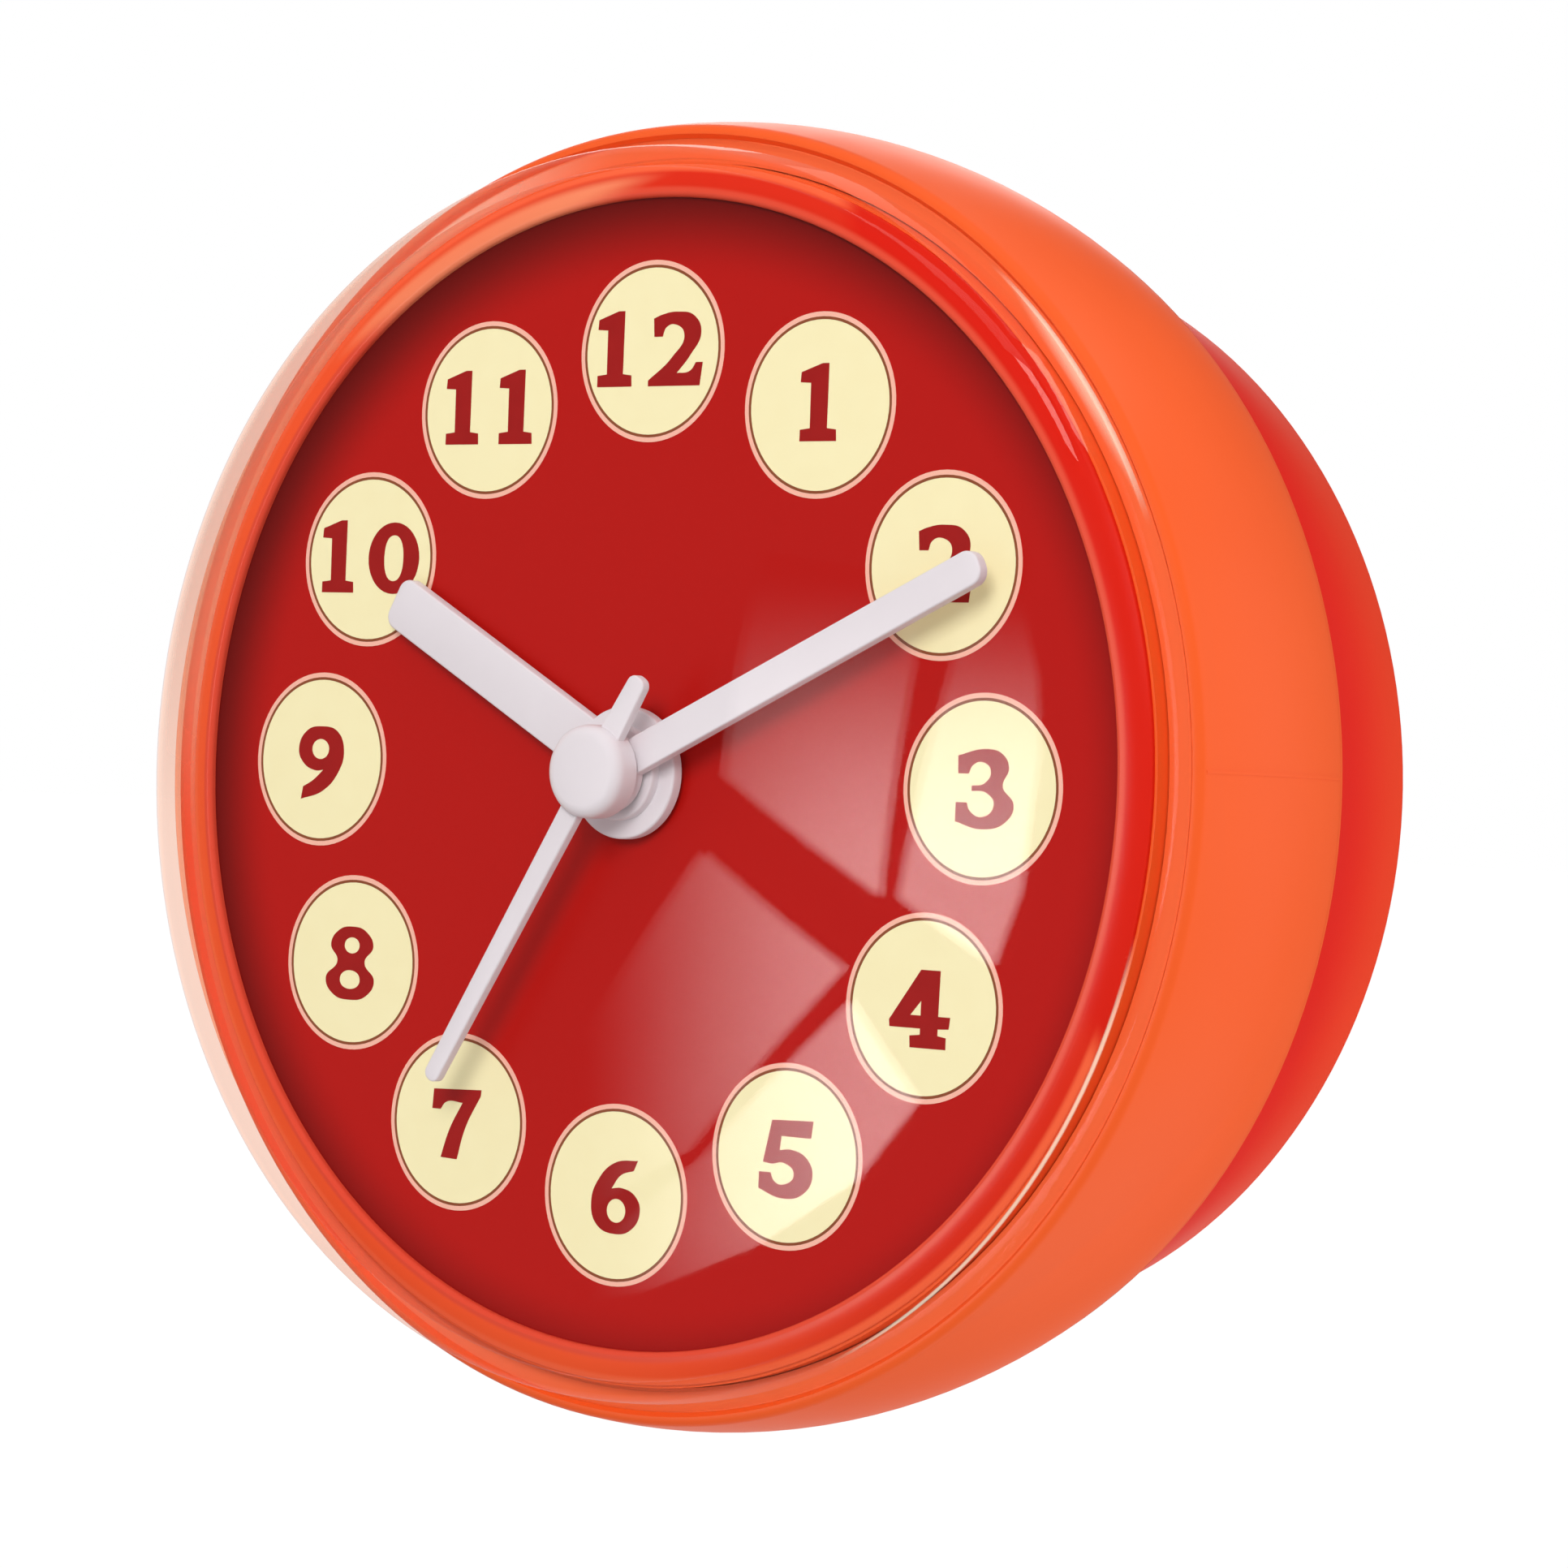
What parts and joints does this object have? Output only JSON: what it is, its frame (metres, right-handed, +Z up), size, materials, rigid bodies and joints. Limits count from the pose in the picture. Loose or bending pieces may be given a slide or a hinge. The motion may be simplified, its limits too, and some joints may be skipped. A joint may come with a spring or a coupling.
{
  "type": "waterproof shower clock",
  "caption": "Round analogue quartz clock in a barrel-shaped plastic drum with a domed clear lens, on a tapered twist-off base with a suction cup that holds it to a tiled wall.",
  "frame": {"origin": "on the clock's axis, in the plane of the wall that the suction cup's lip meets", "axes": "+Y along the clock's axis into the wall, so the dial looks along -Y; +Z up towards 12 o'clock; +X to the viewer's right, towards 3 o'clock"},
  "size_m": [0.0946, 0.0489, 0.0946],
  "materials": {
    "base_plastic": "satin moulded ABS, deep orange-red",
    "cup_rubber": "smooth soft PVC, orange-red",
    "seal_rubber": "matt silicone",
    "drum_plastic": "satin moulded ABS, orange",
    "ring_plastic": "glossy moulded ABS, red-orange",
    "dial_sheet": "printed sheet, dark red with cream discs",
    "lens_clear": "clear polished acrylic",
    "movement_plastic": "fine-grained moulded plastic, black",
    "steel": "plain stamped steel",
    "cell_can": null,
    "board": "solder-masked board",
    "coil_wire": "enamelled copper wire",
    "magnet": "sintered magnet",
    "wheel_plastic": "natural moulded acetal",
    "hand_plastic": "satin moulded plastic, white"
  },
  "bodies": {
    "base": {"back_base": "base_plastic", "suction_cup": "cup_rubber", "base_seal": "seal_rubber"},
    "case": {"drum_shell": "drum_plastic", "dial_ring": "ring_plastic", "dial": "dial_sheet", "lens": "lens_clear", "lens_seal": "seal_rubber", "movement_case": "movement_plastic", "movement_cover": "movement_plastic", "movement_screws": "steel", "battery": "cell_can", "negative_contact": "steel", "positive_contact": "steel", "circuit_board": "board", "quartz_crystal": "steel", "stator": "steel", "coil_core": "steel", "drive_coil": "coil_wire"},
    "second": {"second_hand": "hand_plastic", "second_wheel": "wheel_plastic"},
    "minute": {"minute_hand": "hand_plastic", "centre_wheel": "wheel_plastic"},
    "hour": {"hour_hand": "hand_plastic", "hour_wheel": "wheel_plastic"},
    "third": {"third_wheel": "wheel_plastic"},
    "motion": {"minute_wheel": "wheel_plastic"},
    "step": {"step_wheel": "wheel_plastic"},
    "rotor": {"rotor_magnet": "magnet", "rotor_pinion": "wheel_plastic"},
    "setting": {"set_knob": "movement_plastic", "setting_pinion": "wheel_plastic"}
  },
  "joints": [
    {"name": "case_twist", "type": "hinge", "parent": "base", "child": "case", "pos_m": [0, 0, 0], "axis": [0, -1, 0], "range_deg": [0, 30]},
    {"name": "second_turn", "type": "hinge", "parent": "case", "child": "second", "pos_m": [0, 0, 0], "axis": [0, 1, 0], "continuous": true},
    {"name": "minute_turn", "type": "hinge", "parent": "case", "child": "minute", "pos_m": [0, 0, 0], "axis": [0, 1, 0], "continuous": true},
    {"name": "hour_turn", "type": "hinge", "parent": "case", "child": "hour", "pos_m": [0, 0, 0], "axis": [0, 1, 0], "continuous": true},
    {"name": "third_turn", "type": "hinge", "parent": "case", "child": "third", "pos_m": [-0.00799, 0, 0.00291], "axis": [0, 1, 0], "continuous": true},
    {"name": "motion_turn", "type": "hinge", "parent": "case", "child": "motion", "pos_m": [0.00564, 0, 0.00205], "axis": [0, 1, 0], "continuous": true},
    {"name": "step_turn", "type": "hinge", "parent": "case", "child": "step", "pos_m": [-0.00152, 0, 0.00862], "axis": [0, 1, 0], "continuous": true},
    {"name": "rotor_turn", "type": "hinge", "parent": "case", "child": "rotor", "pos_m": [0.00627, 0, 0.01312], "axis": [0, 1, 0], "continuous": true},
    {"name": "setting_turn", "type": "hinge", "parent": "case", "child": "setting", "pos_m": [0.01128, 0, 0.0041], "axis": [0, 1, 0], "continuous": true}
  ],
  "couplings": [
    {"joint": "minute_turn", "follows": "second_turn", "ratio": 0.016667},
    {"joint": "hour_turn", "follows": "second_turn", "ratio": 0.0013889},
    {"joint": "third_turn", "follows": "second_turn", "ratio": -0.13333},
    {"joint": "motion_turn", "follows": "second_turn", "ratio": -0.0055556},
    {"joint": "step_turn", "follows": "second_turn", "ratio": -6},
    {"joint": "rotor_turn", "follows": "second_turn", "ratio": 30},
    {"joint": "setting_turn", "follows": "second_turn", "ratio": 0.016667}
  ]
}
